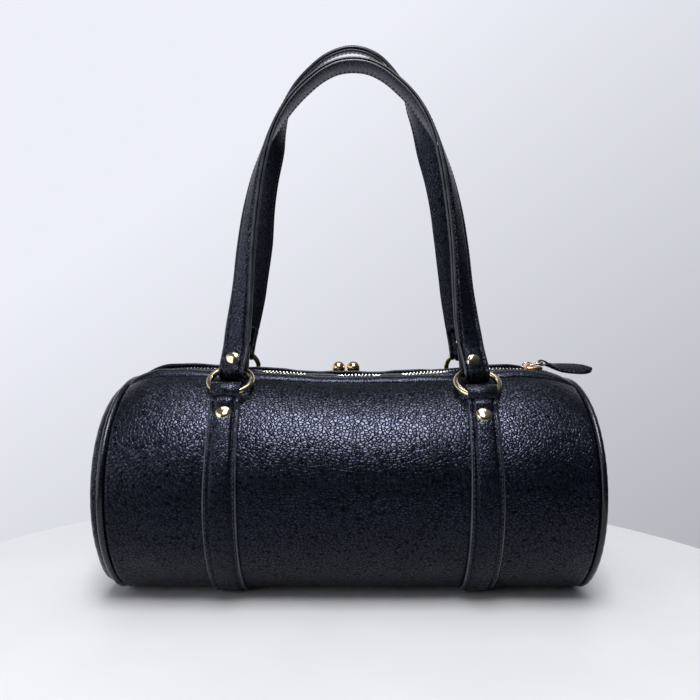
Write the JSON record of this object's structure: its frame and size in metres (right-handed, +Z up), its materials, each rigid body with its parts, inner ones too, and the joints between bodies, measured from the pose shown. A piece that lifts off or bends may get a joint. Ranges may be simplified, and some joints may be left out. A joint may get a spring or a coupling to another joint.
{
  "type": "barrel bag",
  "caption": "Small leather barrel bag with a top zip, two upright strap handles on metal rings, piped round ends and a clasp pocket on its back.",
  "frame": {"origin": "middle of the flat strip that the bag rests on", "axes": "+X along the tube towards the parked zip slider, -Y towards the front, +Z up"},
  "size_m": [0.2833, 0.1403, 0.3211],
  "materials": {
    "body_leather": "pebbled, soft sheen",
    "edge_leather": "fine grain, satin",
    "lining_cloth": "plain weave",
    "tape_cloth": "woven, matte",
    "bottom_board": "plain",
    "pale_gold": "polished",
    "rose_gold": "polished"
  },
  "bodies": {
    "bag": {"body_wrap": "body_leather", "left_end_panel": "body_leather", "right_end_panel": "body_leather", "left_piping": "edge_leather", "right_piping": "edge_leather", "left_piping_cord": "tape_cloth", "right_piping_cord": "tape_cloth", "lining": "lining_cloth", "base_board": "bottom_board", "front_zip_facing": "edge_leather", "rear_zip_facing": "edge_leather", "front_zip_tape": "tape_cloth", "rear_zip_tape": "tape_cloth", "front_zip_teeth": "pale_gold", "rear_zip_teeth": "pale_gold", "zip_stops": "pale_gold", "left_band": "body_leather", "right_band": "body_leather", "band_rivets": "pale_gold", "back_pouch": "body_leather", "clasp_fixed_jaw": "pale_gold", "clasp_fixed_ball": "rose_gold", "clasp_pins": "pale_gold"},
    "front_left_ring": {"front_left_ring": "pale_gold"},
    "front_right_ring": {"front_right_ring": "pale_gold"},
    "rear_left_ring": {"rear_left_ring": "pale_gold"},
    "rear_right_ring": {"rear_right_ring": "pale_gold"},
    "front_handle": {"front_handle": "body_leather", "front_handle_backing": "edge_leather", "front_handle_rivets": "pale_gold"},
    "rear_handle": {"rear_handle": "body_leather", "rear_handle_backing": "edge_leather", "rear_handle_rivets": "pale_gold"},
    "zip_slider": {"zip_slider": "rose_gold"},
    "slider_bail": {"slider_bail": "rose_gold"},
    "pull_tab": {"pull_tab": "body_leather"},
    "clasp_jaw": {"clasp_moving_jaw": "pale_gold", "clasp_moving_ball": "rose_gold"}
  },
  "joints": [
    {"name": "front_left_ring_hinge", "type": "hinge", "parent": "bag", "child": "front_left_ring", "pos_m": [-0.069, -0.04337, 0.11668], "axis": [1, 0, 0], "range_deg": [0, 60]},
    {"name": "front_right_ring_hinge", "type": "hinge", "parent": "bag", "child": "front_right_ring", "pos_m": [0.069, -0.04337, 0.11668], "axis": [1, 0, 0], "range_deg": [0, 60]},
    {"name": "front_handle_hinge", "type": "hinge", "parent": "front_left_ring", "child": "front_handle", "pos_m": [-0.069, -0.02648, 0.12683], "axis": [1, 0, 0], "range_deg": [0, 75]},
    {"name": "rear_left_ring_hinge", "type": "hinge", "parent": "bag", "child": "rear_left_ring", "pos_m": [-0.069, 0.04337, 0.11668], "axis": [-1, 0, 0], "range_deg": [0, 60]},
    {"name": "rear_right_ring_hinge", "type": "hinge", "parent": "bag", "child": "rear_right_ring", "pos_m": [0.069, 0.04337, 0.11668], "axis": [-1, 0, 0], "range_deg": [0, 60]},
    {"name": "rear_handle_hinge", "type": "hinge", "parent": "rear_left_ring", "child": "rear_handle", "pos_m": [-0.069, 0.03352, 0.13375], "axis": [-1, 0, 0], "range_deg": [0, 75]},
    {"name": "zip_slide", "type": "slide", "parent": "bag", "child": "zip_slider", "axis": [1, 0, 0], "range_m": [-0.2152, 0]},
    {"name": "bail_hinge", "type": "hinge", "parent": "zip_slider", "child": "slider_bail", "pos_m": [0.10635, 0, 0.12806], "axis": [0, -1, 0], "range_deg": [0, 150]},
    {"name": "tab_hinge", "type": "hinge", "parent": "slider_bail", "child": "pull_tab", "pos_m": [0.11472, 0, 0.12954], "axis": [0, -1, 0], "range_deg": [0, 30]},
    {"name": "clasp_hinge", "type": "hinge", "parent": "bag", "child": "clasp_jaw", "pos_m": [0, 0.06525, 0.08981], "axis": [-1, 0, 0], "range_deg": [0, 60]}
  ],
  "couplings": [
    {"joint": "front_right_ring_hinge", "follows": "front_left_ring_hinge", "ratio": 1},
    {"joint": "rear_right_ring_hinge", "follows": "rear_left_ring_hinge", "ratio": 1}
  ]
}
